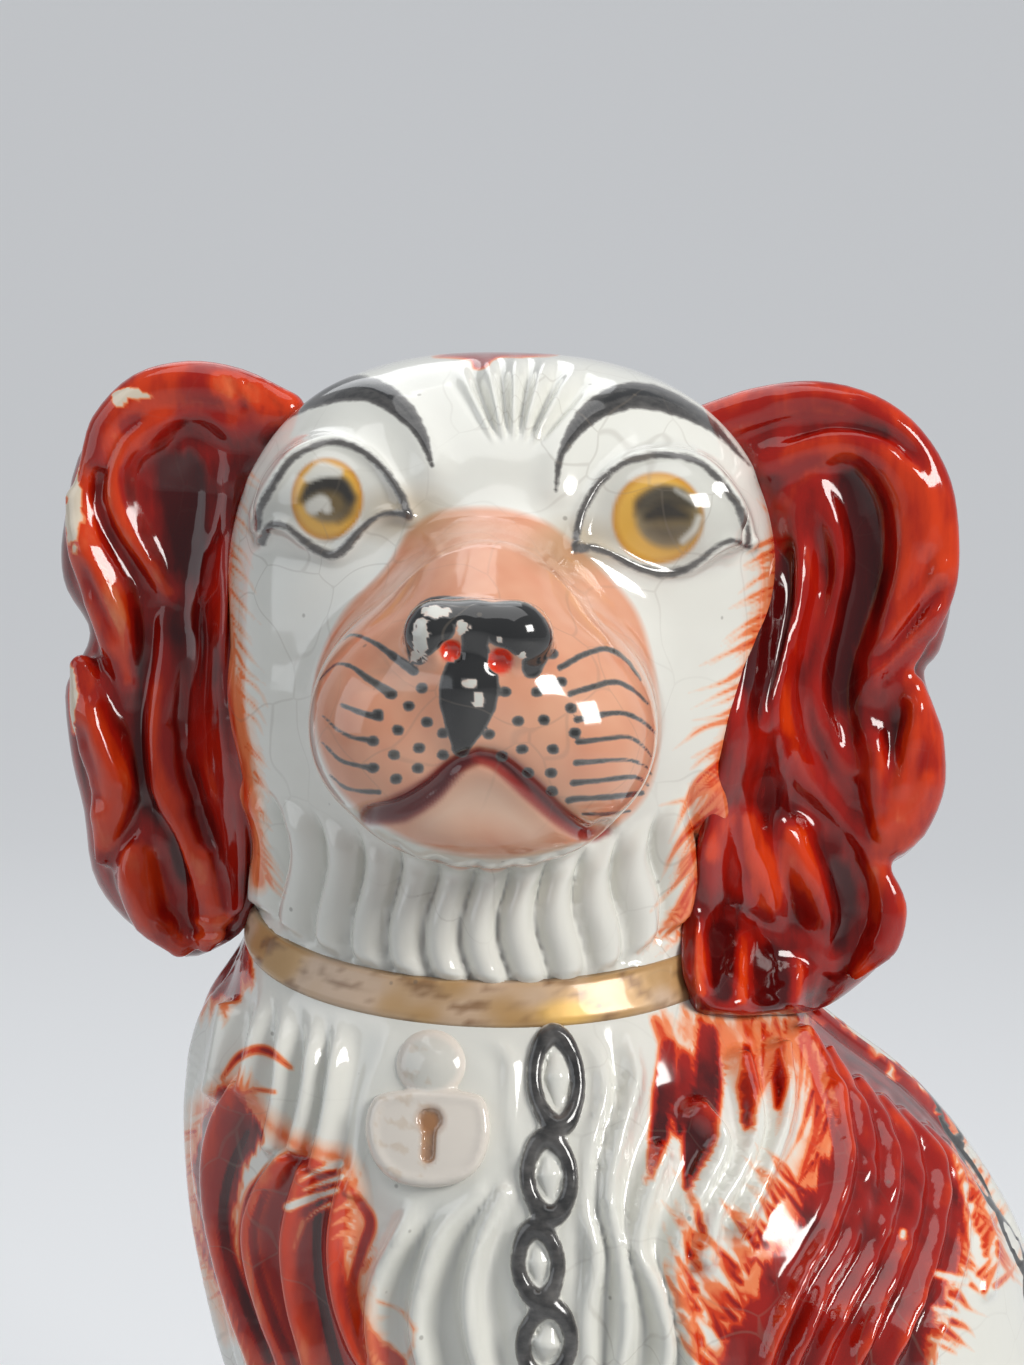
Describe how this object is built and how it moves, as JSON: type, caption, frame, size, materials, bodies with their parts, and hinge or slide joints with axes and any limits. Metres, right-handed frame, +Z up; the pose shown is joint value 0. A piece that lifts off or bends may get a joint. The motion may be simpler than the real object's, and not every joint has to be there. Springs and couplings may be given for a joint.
{
  "type": "seated spaniel mantel figure",
  "caption": "Seated earthenware spaniel with its head turned to face the front, long waved ears, gilt collar, padlock and chain; a hollow ornament that rests on a flat base.",
  "frame": {"origin": "on the floor under the middle of the figure, on the flat underside of its base", "axes": "+Z up; the face looks along -Y; the body points along -X"},
  "size_m": [0.2379, 0.1514, 0.32],
  "materials": {
    "body_glaze": "gloss lead glaze over cream earthenware, hand-painted in iron red",
    "base_clay": "thinly glazed underside",
    "ear_glaze": "gloss iron red, pooled dark in the grooves",
    "gilding": "worn gilding over glaze",
    "sprig_glaze": "gloss glaze with traces of gilding",
    "black_enamel": "grey-black enamel over glaze"
  },
  "bodies": {
    "root": {"front_shell": "body_glaze", "back_shell": "body_glaze", "base_slab": "base_clay", "left_ear": "ear_glaze", "right_ear": "ear_glaze", "left_foreleg": "body_glaze", "right_foreleg": "body_glaze", "tail": "body_glaze", "collar": "gilding", "padlock": "sprig_glaze", "chain_links": "black_enamel"}
  },
  "joints": []
}
